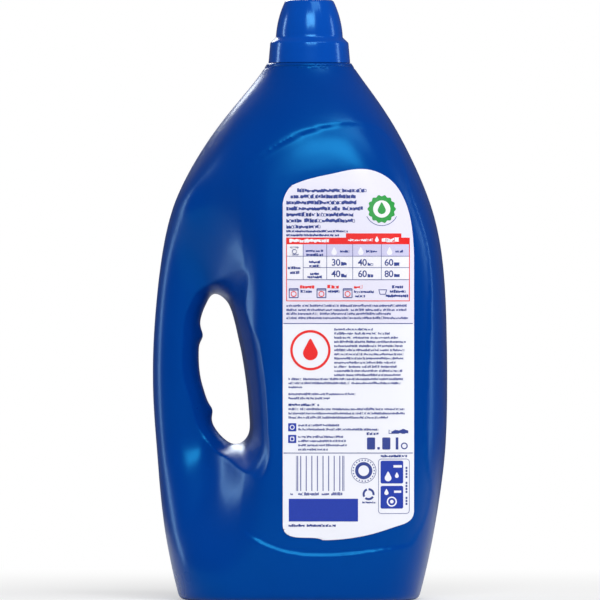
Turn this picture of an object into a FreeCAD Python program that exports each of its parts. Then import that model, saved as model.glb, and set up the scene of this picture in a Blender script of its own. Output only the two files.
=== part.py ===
import FreeCAD, Part
import Sketcher
import math
import os

os.makedirs("parts", exist_ok=True)
doc = FreeCAD.newDocument("laundry_bottle")

# Driving dimensions, in millimetres. Heights are measured from the standing ring.
SIZES = [
    ("body_width", 182.4),
    ("body_depth", 131.0),
    ("shoulder_height", 332.6),
    ("shoulder_top_radius", 26.1),
    ("neck_shift", 5.8),
    ("wall", 1.1),
    ("base_round", 4.5),
    ("standing_ring", 9.0),
    ("pushup_depth", 4.0),
    ("pushup_slope", 6.0),
    ("panel_step", 1.4),
    ("handle_depth", 38.0),
    ("handle_thickness", 28.4),
    ("grip_width", 31.4),
    ("grip_height", 93.2),
    ("grip_bottom", 96.3),
    ("grip_lip_width", 13.5),
    ("grip_flank_radius", 195.0),
    ("grip_top_radius", 44.0),
    ("grip_foot_radius", 74.0),
    ("finger_rise", 2.4),
    ("groove_radius", 0.7),
    ("groove_drop", 3.2),
    ("neck_height", 11.0),
    ("neck_bore_radius", 20.1),
    ("neck_wall", 1.4),
    ("neck_root", 4.0),
    ("neck_bead", 1.0),
    ("neck_bead_height", 2.4),
    ("neck_bead_slope", 0.8),
    ("neck_chamfer", 0.5),
    ("insert_wall", 0.9),
    ("insert_depth", 26.0),
    ("insert_flange", 1.1),
    ("insert_flange_width", 1.1),
    ("trough_fall", 2.5),
    ("spout_radius", 12.4),
    ("spout_rise", 8.4),
    ("spout_slope", 30.0),
    ("drain_width", 7.0),
    ("fit_gap", 0.3),
    ("rim_gap", 0.3),
    ("cap_wall", 1.2),
    ("cap_rim_radius", 25.4),
    ("cap_skirt_height", 12.5),
    ("cap_skirt_taper", 1.1),
    ("cap_step_height", 3.3),
    ("cap_dome_radius", 20.8),
    ("cap_dome_height", 23.3),
    ("cap_dome_curve", 58.0),
    ("cap_top_radius", 14.7),
    ("cap_top_round", 2.6),
    ("cap_step_round", 1.8),
    ("cup_wall", 1.0),
    ("cup_depth", 49.5),
    ("label_left", 10.6),
    ("label_right", 70.2),
    ("label_bottom", 37.9),
    ("label_top", 266.0),
    ("label_film", 0.15),
    ("label_gap", 0.2),
]
sheet = doc.addObject("Spreadsheet::Sheet", "sizes")
for row, (name, value) in enumerate(SIZES, 1):
    sheet.set("A%d" % row, name)
    sheet.set("B%d" % row, str(value))
    sheet.setAlias("B%d" % row, name)
doc.recompute()


def size(name):
    return float(sheet.get(name))


half_width = size("body_width") / 2
half_depth = size("body_depth") / 2
shoulder_height = size("shoulder_height")
wall = size("wall")
panel_step = size("panel_step")

# Stations of the blown body, from the base to the shoulder. Each row holds the height, the reach of the
# handle side and of the far side, the half depth, the place of the crown, the squareness of the section
# and how far the handle side is drawn in. All but the last two are shares of the height, half width or depth.
STATIONS = [
    (0.0, 0.817, 0.806, 0.880, 0.00, 3.5, 0.00),
    (0.026, 0.843, 0.832, 0.910, 0.03, 3.5, 0.00),
    (0.091, 0.895, 0.886, 0.965, 0.12, 3.6, 0.15),
    (0.184, 0.945, 0.946, 0.995, 0.24, 3.7, 0.60),
    (0.324, 0.988, 0.997, 1.0, 0.30, 3.8, 1.00),
    (0.464, 1.0, 1.0, 1.0, 0.31, 3.8, 1.00),
    (0.604, 0.959, 0.980, 1.0, 0.31, 3.7, 0.94),
    (0.698, 0.899, 0.928, 0.995, 0.29, 3.3, 0.48),
    (0.791, 0.767, 0.811, 0.965, 0.25, 2.8, 0.12),
    (0.894, 0.523, 0.617, 0.815, 0.16, 2.4, 0.0),
]
SECTION_POINTS = 64
OUTLINE_STEPS = 600
TIP_SHARE = 0.6
TIP_SQUARE = 2.2
RAMP_START = 0.68
RAMP_END = 0.22
FADE_START = 0.60
FADE_END = 0.26


def smooth_step(value):
    value = min(1.0, max(0.0, value))
    return value * value * (3 - 2 * value)


def closed_curve(points):
    curve = Part.BSplineCurve()
    curve.interpolate(Points=points, PeriodicFlag=True, Parameters=[float(i) for i in range(len(points) + 1)])
    return Part.Wire(curve.toShape())


def spread_points(outline, count):
    """Sets points at even steps along half an outline, from the far side to the handle side."""
    reached = [0.0]
    for start, end in zip(outline, outline[1:]):
        reached.append(reached[-1] + math.dist(start, end))
    points = []
    index = 0
    for step in range(count + 1):
        target = reached[-1] * step / count
        while index < len(outline) - 2 and reached[index + 1] < target:
            index += 1
        share = (target - reached[index]) / (reached[index + 1] - reached[index])
        points.append([a + (b - a) * share for a, b in zip(outline[index], outline[index + 1])])
    return points


def station_section(station, inset, recess):
    height, left, right, depth, crown, square, drawn = station
    crown = crown * half_width
    left = -left * half_width + inset
    right = right * half_width - inset
    depth = depth * half_depth - inset
    tip_depth = size("handle_depth") / 2 - inset
    tip_end = left + TIP_SHARE * (size("handle_thickness") - 2 * inset)
    outline = []
    for index in range(OUTLINE_STEPS + 1):
        angle = math.pi * index / OUTLINE_STEPS
        reach = abs(math.cos(angle)) ** (2 / square)
        full = depth * math.sin(angle) ** (2 / square)
        if angle <= math.pi / 2:
            x = crown + (right - crown) * reach
            y = full
        else:
            x = crown - (crown - left) * reach
            y = full
            if drawn > 0:
                beyond = min(1.0, max(0.0, (tip_end - x) / (tip_end - left)))
                tip = tip_depth * (1 - beyond ** TIP_SQUARE) ** (1 / TIP_SQUARE)
                ramp = smooth_step((x + RAMP_START * half_width) / ((RAMP_START - RAMP_END) * half_width))
                grip = min(tip, full) + (full - min(tip, full)) * ramp
                y = full + (grip - full) * drawn
        outline.append((x, max(0.0, y)))
    half = spread_points(outline, SECTION_POINTS // 2)
    points = half + [(x, -y) for x, y in half[-2:0:-1]]
    if recess is not None:
        faded = []
        for x, y in points:
            fade = smooth_step((x + FADE_START * half_width) / ((FADE_START - FADE_END) * half_width))
            grow = (1 - fade) * panel_step - fade * recess
            faded.append((x - (1 - fade) * panel_step, y * (1 + grow / depth)))
        points = faded
    return closed_curve([FreeCAD.Vector(x, y, height * shoulder_height) for x, y in points])


def circle_section(height, radius):
    points = []
    for index in range(SECTION_POINTS):
        angle = 2 * math.pi * index / SECTION_POINTS
        x = size("neck_shift") + radius * math.cos(angle)
        points.append(FreeCAD.Vector(x, radius * math.sin(angle), height))
    return closed_curve(points)


def blown_body(inset, recess=None):
    wires = [station_section(station, inset, recess) for station in STATIONS]
    top_radius = size("shoulder_top_radius")
    wires.append(circle_section(0.968 * shoulder_height, 1.283 * top_radius - inset))
    wires.append(circle_section(shoulder_height, top_radius - inset))
    return Part.makeLoft(wires, True, False)


def shaped(name, shape):
    """Adds a shape that was formed from the sizes as one object of the document."""
    feature = doc.addObject("Part::Feature", name)
    feature.Shape = shape
    feature.Placement = FreeCAD.Placement()
    return feature


def joined(kind, name, base, tool):
    """Adds a boolean of two objects."""
    feature = doc.addObject(kind, name)
    feature.Base = base
    feature.Tool = tool
    return feature


skin = shaped("skin", blown_body(0.0))

# Grip opening: its outline at the middle of the handle as shares of its own box, and the rises between fingers.
GRIP_OUTLINE = [
    (0.355, 1.0),
    (0.575, 0.94),
    (0.675, 0.855),
    (0.77, 0.72),
    (0.855, 0.585),
    (0.915, 0.455),
    (0.965, 0.32),
    (1.0, 0.17),
    (0.965, 0.055),
    (0.76, 0.0),
    (0.44, 0.055),
    (0.27, 0.14),
    (0.17, 0.28),
    (0.05, 0.42),
    (0.0, 0.56),
    (0.01, 0.72),
    (0.045, 0.845),
    (0.155, 0.94),
]
GRIP_POINTS = 54
FINGER_RISES = [0.225, 0.725]
FINGER_SPREAD = 4.0
FINGER_FADE = 9.0
GRIP_SPREAD = [0.0, 0.09, 0.17, 0.23, 0.28, 0.36, 0.5, 0.68, 0.88, 1.1]
LIP_TURN = 0.9
LIP_REACH = 1.9


def lip_flare(y):
    """Gives how far the handle side of the opening draws back at y: a quarter of an ellipse that then levels out."""
    width = size("grip_lip_width")
    depth = size("handle_depth") / 2
    turn = LIP_TURN * depth
    if abs(y) <= turn:
        return width * (1 - math.sqrt(1 - (y / depth) ** 2))
    start = width * (1 - math.sqrt(1 - LIP_TURN ** 2))
    slope = width / depth * LIP_TURN / math.sqrt(1 - LIP_TURN ** 2)
    room = LIP_REACH * width - start
    return start + room * (1 - math.exp(-slope * (abs(y) - turn) / room))


def grip_tool(grow):
    """Forms the flared opening between the handle and the body, wider by the amount given."""
    left = -half_width + size("handle_thickness")
    width = size("grip_width")
    height = size("grip_height")
    bottom = size("grip_bottom")
    guide = Part.BSplineCurve()
    guide.interpolate(
        Points=[FreeCAD.Vector(left + u * width, 0, bottom + v * height) for u, v in GRIP_OUTLINE],
        PeriodicFlag=True,
    )
    places = guide.toShape().discretize(GRIP_POINTS + 1)[:-1]
    rays = []
    for index, place in enumerate(places):
        along = places[(index + 1) % GRIP_POINTS] - places[index - 1]
        ray = FreeCAD.Vector(-along.z, 0, along.x)
        ray.normalize()
        rays.append(ray)
    middle = FreeCAD.Vector(left + width / 2, 0, bottom + height / 2)
    if (places[0] - middle).dot(rays[0]) < 0:
        rays = [-ray for ray in rays]
    wires = []
    spread = [-share for share in GRIP_SPREAD[:0:-1]] + GRIP_SPREAD
    for share in spread:
        y = share * half_depth
        points = []
        for place, ray in zip(places, rays):
            side = lip_flare(y) if ray.x < 0 else y * y / 2 / size("grip_flank_radius")
            end = y * y / 2 / (size("grip_top_radius") if ray.z > 0 else size("grip_foot_radius"))
            flare = side * ray.x ** 2 + end * ray.z ** 2
            point = place + ray * (flare + grow)
            if ray.x < 0:
                for rise in FINGER_RISES:
                    offset = (place.z - bottom - rise * height) / FINGER_SPREAD
                    point.x += size("finger_rise") * math.exp(-offset ** 2 - (y / FINGER_FADE) ** 2) * ray.x ** 2
            points.append(FreeCAD.Vector(point.x, y, point.z))
        wires.append(closed_curve(points))
    return Part.makeLoft(wires, True, False)


grip = shaped("grip_opening", grip_tool(0.0))

# Label panels: the outline as shares of the half width and the shoulder height, cut back to a shallow step.
PANEL_TOP = [(-0.70, 0.68), (-0.378, 0.797), (-0.02, 0.864), (0.347, 0.886), (0.54, 0.876)]
PANEL_SIDE = [(0.54, 0.876), (0.65, 0.84), (0.756, 0.752), (0.85, 0.672), (0.884, 0.558), (0.884, 0.222)]
PANEL_CORNER = [(0.884, 0.222), (0.82, 0.135), (0.742, 0.102)]
PANEL_FOOT = [(0.742, 0.102), (0.456, 0.091), (0.176, 0.085), (-0.116, 0.093), (-0.456, 0.142), (-0.70, 0.20)]


def open_curve(points):
    curve = Part.BSplineCurve()
    curve.interpolate(points)
    return curve.toShape()


def upright_face(runs, place):
    """Joins curved runs of points, each placed in the upright plane behind the body, into one closed face."""
    edges = []
    for run in runs:
        edges.append(open_curve([place(u, v) for u, v in run]))
    last = edges[-1].Vertexes[-1].Point
    first = edges[0].Vertexes[0].Point
    if last.distanceToPoint(first) > 0.01:
        edges.append(Part.makeLine(last, first))
    return Part.Face(Part.Wire(edges))


def panel_place(u, v):
    return FreeCAD.Vector(u * half_width, -2 * half_depth, v * shoulder_height)


panel_outline = upright_face([PANEL_TOP, PANEL_SIDE, PANEL_CORNER, PANEL_FOOT], panel_place)
panel_block = shaped("panel_block", panel_outline.extrude(FreeCAD.Vector(0, 1.5 * half_depth, 0)))
panel_body = shaped("panel_body", blown_body(0.0, panel_step))
rear_recess = joined("Part::Cut", "rear_recess", panel_block, panel_body)
front_recess = doc.addObject("Part::Mirroring", "front_recess")
front_recess.Source = rear_recess
front_recess.Normal = FreeCAD.Vector(0, 1, 0)
rear_done = joined("Part::Cut", "rear_done", skin, rear_recess)
both_done = joined("Part::Cut", "both_done", rear_done, front_recess)
gripped = joined("Part::Cut", "gripped", both_done, grip)
# Shallow ring groove round the shoulder, just under the cap.
groove = doc.addObject("Part::Torus", "shoulder_groove")
groove.setExpression("Radius1", "sizes.shoulder_top_radius + 0.78 * sizes.groove_drop + 0.35 * sizes.groove_radius")
groove.setExpression("Radius2", "sizes.groove_radius")
groove.setExpression("Placement.Base.x", "sizes.neck_shift")
groove.setExpression("Placement.Base.z", "sizes.shoulder_height - sizes.groove_drop + 0.35 * sizes.groove_radius")
grooved = joined("Part::Cut", "grooved", gripped, groove)

# Push-up of the base inside the standing ring.
base_station = STATIONS[0]


def base_tool(inset, height):
    low = station_section(base_station, inset, None)
    high = station_section(base_station, inset + size("pushup_slope"), None)
    low.translate(FreeCAD.Vector(0, 0, -1))
    high.translate(FreeCAD.Vector(0, 0, height))
    return Part.makeLoft([low, high], True, True)


pushup = shaped("pushup", base_tool(size("standing_ring"), size("pushup_depth")))
outer = joined("Part::Cut", "outer", grooved, pushup)

# Inside of the body, one wall within the deepest of the outer faces.
inner_inset = wall + panel_step
inner_shape = blown_body(inner_inset)
trim = Part.makeBox(
    4 * half_width,
    4 * half_depth,
    shoulder_height - inner_inset - wall,
    FreeCAD.Vector(-2 * half_width, -2 * half_depth, wall),
)
inner = shaped("inner", inner_shape.common(trim))
inner_grip = shaped("inner_grip", grip_tool(1.5 * wall))
inner_pushup = shaped("inner_pushup", base_tool(size("standing_ring") - wall, size("pushup_depth") + wall))
inner_around = joined("Part::Cut", "inner_around", inner, inner_grip)
cavity = joined("Part::Cut", "cavity", inner_around, inner_pushup)
bore = doc.addObject("Part::Cylinder", "neck_bore")
bore.setExpression("Radius", "sizes.neck_bore_radius")
bore.setExpression("Height", "sizes.neck_root + sizes.neck_height + 1")
bore.setExpression("Placement.Base.x", "sizes.neck_shift")
bore.setExpression("Placement.Base.z", "sizes.shoulder_height - sizes.neck_root")


def value_of(expression):
    return float(sheet.evalExpression(expression))


def turned_body(name, corners, height, arcs=None):
    """Makes a body turned about the neck axis. Each corner holds its radius and its height as expressions, and
    an arc, named by the corner that it starts from, holds its radius."""
    arcs = arcs or {}
    body = doc.addObject("PartDesign::Body", name)
    plane = [item for item in body.Origin.OriginFeatures if item.Role == "XZ_Plane"][0]
    sketch = body.newObject("Sketcher::SketchObject", name + "_profile")
    sketch.AttachmentSupport = (plane, [""])
    sketch.MapMode = "FlatFace"
    places = [FreeCAD.Vector(value_of(r), value_of(z), 0) for r, z in corners]
    count = len(places)
    starts = []
    ends = []
    for index in range(count):
        start = places[index]
        end = places[(index + 1) % count]
        if index in arcs:
            radius = value_of(arcs[index])
            rising = end.y > start.y
            low, high = (start, end) if rising else (end, start)
            chord = high - low
            across = FreeCAD.Vector(chord.y, -chord.x, 0)
            across.normalize()
            centre = (low + high) / 2 - across * math.sqrt(radius ** 2 - (chord.Length / 2) ** 2)
            first = math.atan2(low.y - centre.y, low.x - centre.x)
            last = math.atan2(high.y - centre.y, high.x - centre.x)
            circle = Part.Circle(centre, FreeCAD.Vector(0, 0, 1), radius)
            sketch.addGeometry(Part.ArcOfCircle(circle, first, last), False)
            starts.append(1 if rising else 2)
            ends.append(2 if rising else 1)
        else:
            sketch.addGeometry(Part.LineSegment(start, end), False)
            starts.append(1)
            ends.append(2)
    for index in range(count):
        following = (index + 1) % count
        sketch.addConstraint(Sketcher.Constraint("Coincident", index, ends[index], following, starts[following]))
    for index, (radius, level) in enumerate(corners):
        place = places[index]
        first_point = starts[index]
        if abs(place.x) < 1e-9:
            sketch.addConstraint(Sketcher.Constraint("PointOnObject", index, first_point, -2))
        else:
            number = sketch.addConstraint(Sketcher.Constraint("DistanceX", -1, 1, index, first_point, place.x))
            sketch.setExpression("Constraints[%d]" % number, radius)
        if level == "0":
            sketch.addConstraint(Sketcher.Constraint("PointOnObject", index, first_point, -1))
        else:
            number = sketch.addConstraint(Sketcher.Constraint("DistanceY", -1, 1, index, first_point, place.y))
            sketch.setExpression("Constraints[%d]" % number, level)
    for index in arcs:
        number = sketch.addConstraint(Sketcher.Constraint("Radius", index, value_of(arcs[index])))
        sketch.setExpression("Constraints[%d]" % number, arcs[index])
    turn = body.newObject("PartDesign::Revolution", name + "_turn")
    turn.Profile = sketch
    turn.ReferenceAxis = (sketch, ["V_Axis"])
    turn.Angle = 360
    body.setExpression("Placement.Base.x", "sizes.neck_shift")
    body.setExpression("Placement.Base.z", height)
    doc.recompute()
    return body


# Neck finish, with the bead that the rim of the cap stops above. Heights are from the top of the shoulder.
NECK_OUT = "sizes.neck_bore_radius + sizes.neck_wall"
neck = turned_body(
    "neck_finish",
    [
        ("sizes.neck_bore_radius", "-sizes.neck_root"),
        (NECK_OUT, "-sizes.neck_root"),
        (NECK_OUT, "sizes.fit_gap"),
        (NECK_OUT + " + sizes.neck_bead", "sizes.fit_gap + 0.5 * sizes.neck_bead_slope"),
        (NECK_OUT + " + sizes.neck_bead", "sizes.neck_bead_height - sizes.neck_bead_slope"),
        (NECK_OUT, "sizes.neck_bead_height"),
        (NECK_OUT, "sizes.neck_height - sizes.neck_chamfer"),
        (NECK_OUT + " - sizes.neck_chamfer", "sizes.neck_height"),
        ("sizes.neck_bore_radius", "sizes.neck_height"),
    ],
    "sizes.shoulder_height",
)
hollow = joined("Part::Cut", "hollow", outer, cavity)
open_top = joined("Part::Cut", "open_top", hollow, bore)
necked = joined("Part::Fuse", "necked", open_top, neck)
doc.recompute()


def foot_rim(shape, height):
    """Finds the edges round the outside of the level face at the height given."""
    rims = []
    for face in shape.Faces:
        if face.Surface.TypeId == "Part::GeomPlane" and abs(face.CenterOfMass.z - height) < wall / 4:
            rims.append(face.OuterWire)
    return max(rims, key=lambda rim: rim.Length).Edges


base_round = size("base_round")
rounded_foot = necked.Shape.makeFillet(base_round, foot_rim(necked.Shape, 0.0))
rounded_foot = rounded_foot.makeFillet(base_round - wall, foot_rim(rounded_foot, wall))
bottle = shaped("bottle", rounded_foot)

# Dosing cap: skirt, step and dome outside, and the measuring cup inside. Heights are from its rim.
CAP_TOP = "sizes.cap_skirt_height + sizes.cap_step_height + sizes.cap_dome_height"
SKIRT_IN = "sizes.cap_rim_radius - sizes.cap_skirt_taper - sizes.cap_wall"
CUP_OUT = "sizes.neck_bore_radius - sizes.insert_wall - sizes.fit_gap"
CUP_RIM = CAP_TOP + " - sizes.cap_wall - sizes.cup_depth"
STEP_TOP = "sizes.cap_skirt_height + sizes.cap_step_height"
cap = turned_body(
    "dosing_cap",
    [
        (SKIRT_IN, "0"),
        ("sizes.cap_rim_radius", "0"),
        ("sizes.cap_rim_radius - sizes.cap_skirt_taper", "sizes.cap_skirt_height"),
        ("sizes.cap_dome_radius", STEP_TOP),
        ("sizes.cap_top_radius", CAP_TOP),
        ("0", CAP_TOP),
        ("0", CAP_TOP + " - sizes.cap_wall"),
        ("sizes.cap_top_radius - 1.2 * sizes.cap_wall", CAP_TOP + " - sizes.cap_wall"),
        (CUP_OUT + " - sizes.cup_wall", STEP_TOP + " + sizes.cap_wall"),
        (CUP_OUT + " - sizes.cup_wall", CUP_RIM),
        (CUP_OUT, CUP_RIM),
        (CUP_OUT, STEP_TOP + " - 1.1 * sizes.cap_wall"),
        (SKIRT_IN, "sizes.cap_skirt_height - 0.6 * sizes.cap_wall"),
    ],
    "sizes.shoulder_height + sizes.rim_gap",
    {3: "sizes.cap_dome_curve", 7: "sizes.cap_dome_curve"},
)


def rounded(body, name, radius, ring_radius, ring_height):
    """Rounds the ring edge of a turned body that has the radius and height given."""
    source = body.Tip
    names = []
    for number, edge in enumerate(source.Shape.Edges, 1):
        point = edge.Vertexes[0].Point
        level = edge.BoundBox.ZLength < 1e-3
        if level and abs(math.hypot(point.x, point.y) - ring_radius) < 0.02 and abs(point.z - ring_height) < 0.02:
            names.append("Edge%d" % number)
    fillet = body.newObject("PartDesign::Fillet", name)
    fillet.Base = (source, names)
    fillet.setExpression("Radius", radius)
    doc.recompute()
    return fillet


cap_top = value_of(CAP_TOP)
rounded(cap, "top_round", "sizes.cap_top_round", size("cap_top_radius"), cap_top)
skirt_top_radius = size("cap_rim_radius") - size("cap_skirt_taper")
rounded(cap, "step_round", "sizes.cap_step_round", skirt_top_radius, size("cap_skirt_height"))
rounded(cap, "dome_round", "0.5 * sizes.cap_step_round", size("cap_dome_radius"), value_of(STEP_TOP))

# Pouring insert: flange, wall and sloping trough turned in one, with the spout standing in the trough. Heights
# are from the top of the neck.
INSERT_IN = "sizes.neck_bore_radius - sizes.insert_wall"
tray = turned_body(
    "insert_tray",
    [
        ("sizes.neck_bore_radius", "sizes.trough_fall - sizes.insert_depth"),
        ("sizes.neck_bore_radius", "0"),
        ("sizes.neck_bore_radius + sizes.insert_flange_width", "0"),
        ("sizes.neck_bore_radius + sizes.insert_flange_width", "sizes.insert_flange"),
        (INSERT_IN, "sizes.insert_flange"),
        (INSERT_IN, "sizes.trough_fall + 1.2 * sizes.insert_wall - sizes.insert_depth"),
        ("sizes.spout_radius", "1.2 * sizes.insert_wall - sizes.insert_depth"),
        ("sizes.spout_radius - sizes.insert_wall", "1.2 * sizes.insert_wall - sizes.insert_depth"),
        ("sizes.spout_radius - sizes.insert_wall", "-sizes.insert_depth"),
    ],
    "sizes.shoulder_height + sizes.neck_height",
)
NECK_TOP = "sizes.shoulder_height + sizes.neck_height"


def upright_cylinder(name, radius, low, high):
    """Adds a cylinder on the neck axis between two heights above the neck top."""
    cylinder = doc.addObject("Part::Cylinder", name)
    cylinder.setExpression("Radius", radius)
    cylinder.setExpression("Height", "%s - (%s)" % (high, low))
    cylinder.setExpression("Placement.Base.x", "sizes.neck_shift")
    cylinder.setExpression("Placement.Base.z", "%s + (%s)" % (NECK_TOP, low))
    return cylinder


spout_out = upright_cylinder("spout_out", "sizes.spout_radius", "-sizes.insert_depth", "sizes.spout_rise")
spout_in = upright_cylinder(
    "spout_in", "sizes.spout_radius - sizes.insert_wall", "-sizes.insert_depth - 1", "sizes.spout_rise + 1"
)
spout_tube = joined("Part::Cut", "spout_tube", spout_out, spout_in)

# The lip of the spout slopes down towards the handle side, where a slot lets drips run back.
lip_cut = doc.addObject("Part::Box", "lip_cut")
lip_cut.Placement = FreeCAD.Placement(FreeCAD.Vector(), FreeCAD.Rotation(FreeCAD.Vector(0, 1, 0), 30))
lip_cut.setExpression("Length", "4 * sizes.spout_radius")
lip_cut.setExpression("Width", "4 * sizes.spout_radius")
lip_cut.setExpression("Height", "4 * sizes.spout_radius")
lip_cut.setExpression("Placement.Rotation.Angle", "-sizes.spout_slope")
lip_cut.setExpression(
    "Placement.Base.x", "sizes.neck_shift + sizes.spout_radius * (1 - 4 * cos(sizes.spout_slope))"
)
lip_cut.setExpression("Placement.Base.y", "-2 * sizes.spout_radius")
lip_cut.setExpression(
    "Placement.Base.z", NECK_TOP + " + sizes.spout_rise - 4 * sizes.spout_radius * sin(sizes.spout_slope)"
)
drain_cut = doc.addObject("Part::Box", "drain_cut")
drain_cut.setExpression("Length", "sizes.spout_radius")
drain_cut.setExpression("Width", "sizes.drain_width")
drain_cut.setExpression("Height", "sizes.insert_depth + sizes.spout_rise")
drain_cut.setExpression("Placement.Base.x", "sizes.neck_shift - 1.5 * sizes.spout_radius")
drain_cut.setExpression("Placement.Base.y", "-sizes.drain_width / 2")
drain_cut.setExpression("Placement.Base.z", NECK_TOP + " - sizes.insert_depth + 1.2 * sizes.insert_wall")
lipped = joined("Part::Cut", "lipped", spout_tube, lip_cut)
spout = joined("Part::Cut", "spout", lipped, drain_cut)
insert = joined("Part::Fuse", "pouring_insert", tray, spout)

# Rear label: a film on the panel, clear of it by the label gap. Its outline is given as shares of its own
# width and height.
LABEL_LEFT = [(0.0, 0.045), (0.0, 0.908)]
LABEL_CORNER = [(0.0, 0.908), (0.022, 0.935), (0.068, 0.957)]
LABEL_TOP = [
    (0.068, 0.957),
    (0.205, 0.975),
    (0.40, 0.9905),
    (0.53, 1.0),
    (0.67, 0.999),
    (0.785, 0.982),
    (0.885, 0.947),
]
LABEL_TURN = [(0.885, 0.947), (0.955, 0.893), (0.988, 0.833), (1.0, 0.77)]
LABEL_RIGHT = [(1.0, 0.77), (1.0, 0.084)]
LABEL_FOOT = [(1.0, 0.084), (0.97, 0.053), (0.876, 0.038), (0.707, 0.019), (0.515, 0.005), (0.30, 0.0)]
LABEL_HEEL = [(0.30, 0.0), (0.124, 0.007), (0.032, 0.016), (0.0, 0.045)]
label_left = -size("label_left")
label_width = size("label_right") - label_left
label_bottom = size("label_bottom")
label_height = size("label_top") - label_bottom


def label_place(u, v):
    return FreeCAD.Vector(label_left + u * label_width, -2 * half_depth, label_bottom + v * label_height)


LABEL_RUNS = [LABEL_LEFT, LABEL_CORNER, LABEL_TOP, LABEL_TURN, LABEL_RIGHT, LABEL_FOOT, LABEL_HEEL]
label_outline = upright_face(LABEL_RUNS, label_place)
label_block = shaped("label_block", label_outline.extrude(FreeCAD.Vector(0, 1.5 * half_depth, 0)))
label_seat = panel_step - size("label_gap")
label_back = shaped("label_back", blown_body(0.0, label_seat))
label_face = shaped("label_face", blown_body(0.0, label_seat - size("label_film")))
label_slice = joined("Part::Common", "label_slice", label_block, label_face)
label = joined("Part::Cut", "rear_label", label_slice, label_back)

doc.recompute()
for node in (bottle, insert, cap, label):
    state = [flag for flag in node.State if flag in ("Invalid", "Error")]
    if state or node.Shape.isNull() or not node.Shape.isValid():
        raise RuntimeError("%s is not sound: %s" % (node.Name, state))
    node.Label = node.Name
    node.Shape.exportStep("parts/%s.step" % node.Label)
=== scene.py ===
import bpy
import math
import random
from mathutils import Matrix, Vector
from mathutils.bvhtree import BVHTree


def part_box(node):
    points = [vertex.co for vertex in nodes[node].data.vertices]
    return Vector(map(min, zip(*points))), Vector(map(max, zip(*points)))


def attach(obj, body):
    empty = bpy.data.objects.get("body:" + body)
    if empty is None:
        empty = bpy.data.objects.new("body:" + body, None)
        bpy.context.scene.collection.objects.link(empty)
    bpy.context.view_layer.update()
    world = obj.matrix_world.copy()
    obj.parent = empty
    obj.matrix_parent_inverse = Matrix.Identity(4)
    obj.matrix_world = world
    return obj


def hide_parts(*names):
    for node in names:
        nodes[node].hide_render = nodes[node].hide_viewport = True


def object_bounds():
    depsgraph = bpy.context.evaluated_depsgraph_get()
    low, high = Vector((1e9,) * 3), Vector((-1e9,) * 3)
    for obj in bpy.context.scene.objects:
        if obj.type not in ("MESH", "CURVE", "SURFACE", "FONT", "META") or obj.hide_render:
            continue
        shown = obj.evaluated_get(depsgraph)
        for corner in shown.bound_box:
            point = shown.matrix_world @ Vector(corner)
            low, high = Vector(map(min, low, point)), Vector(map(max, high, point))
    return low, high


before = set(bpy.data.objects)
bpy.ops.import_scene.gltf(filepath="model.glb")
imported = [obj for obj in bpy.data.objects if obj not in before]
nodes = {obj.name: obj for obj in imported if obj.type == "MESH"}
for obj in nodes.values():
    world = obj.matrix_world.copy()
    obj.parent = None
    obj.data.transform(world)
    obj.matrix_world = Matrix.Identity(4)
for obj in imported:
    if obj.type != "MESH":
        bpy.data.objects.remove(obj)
cad_low, cad_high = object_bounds()
scene = bpy.context.scene

# Studio. The bottle stands on a pale floor and is seen square on to its rear label, from half its height and
# from far off. Soft lamps high in front, above and behind it, and a tall strip at each side, draw the soft
# lines on the plastic.
scene.view_settings.view_transform = "Standard"
view_distance = 7.0
view_height = 0.1857
photo_pixel = 0.62104e-3
photo_width = 600
sensor = 36.0
bpy.ops.object.select_all(action="DESELECT")
bpy.ops.object.camera_add(location=(0.0, -view_distance, view_height), rotation=(math.radians(90), 0, 0))
camera = bpy.context.object
camera.name = "studio_camera"
camera.data.sensor_width = sensor
camera.data.sensor_height = sensor
camera.data.lens = sensor * view_distance / (photo_width * photo_pixel)
camera.data.clip_start = 0.5
camera.data.clip_end = 60.0
scene.camera = camera


def new_material(name):
    """Makes an empty node material and gives it with its nodes, its links and its shader."""
    material = bpy.data.materials.new(name)
    material.use_nodes = True
    tree = material.node_tree
    shader = tree.nodes["Principled BSDF"]
    return material, tree.nodes, tree.links, shader


def soft_lamp(name, place, aim, width, height, watts):
    """Hangs a rectangular soft box at a place, facing the point that it is aimed at."""
    bpy.ops.object.select_all(action="DESELECT")
    bpy.ops.object.light_add(type="AREA", location=place)
    lamp = bpy.context.object
    lamp.name = name
    lamp.data.shape = "RECTANGLE"
    lamp.data.size = width
    lamp.data.size_y = height
    lamp.data.energy = watts
    lamp.rotation_euler = (Vector(aim) - Vector(place)).to_track_quat("-Z", "Y").to_euler()


middle = (0.0, 0.0, 0.19)
soft_lamp("front_box", (0.25, -2.6, 1.75), middle, 1.5, 0.9, 62.0)
soft_lamp("top_box", (0.8, -1.1, 2.0), middle, 1.2, 0.9, 18.0)
soft_lamp("rear_box", (-0.5, 2.7, 1.6), middle, 1.4, 1.0, 36.0)
soft_lamp("left_strip", (-1.7, 0.35, 0.35), middle, 0.22, 1.3, 8.0)
soft_lamp("right_strip", (1.7, 0.05, 0.35), middle, 0.22, 1.3, 6.0)

world = bpy.data.worlds.new("studio_world")
scene.world = world
world.use_nodes = True
world_nodes = world.node_tree.nodes
world_links = world.node_tree.links
room = world_nodes["Background"]
room.inputs["Color"].default_value = (1.0, 1.0, 1.0, 1.0)
seen = world_nodes.new("ShaderNodeLightPath")
level = world_nodes.new("ShaderNodeMapRange")
level.inputs["To Min"].default_value = 0.10
level.inputs["To Max"].default_value = 1.0
world_links.new(seen.outputs["Is Camera Ray"], level.inputs["Value"])
world_links.new(level.outputs["Result"], room.inputs["Strength"])

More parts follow.
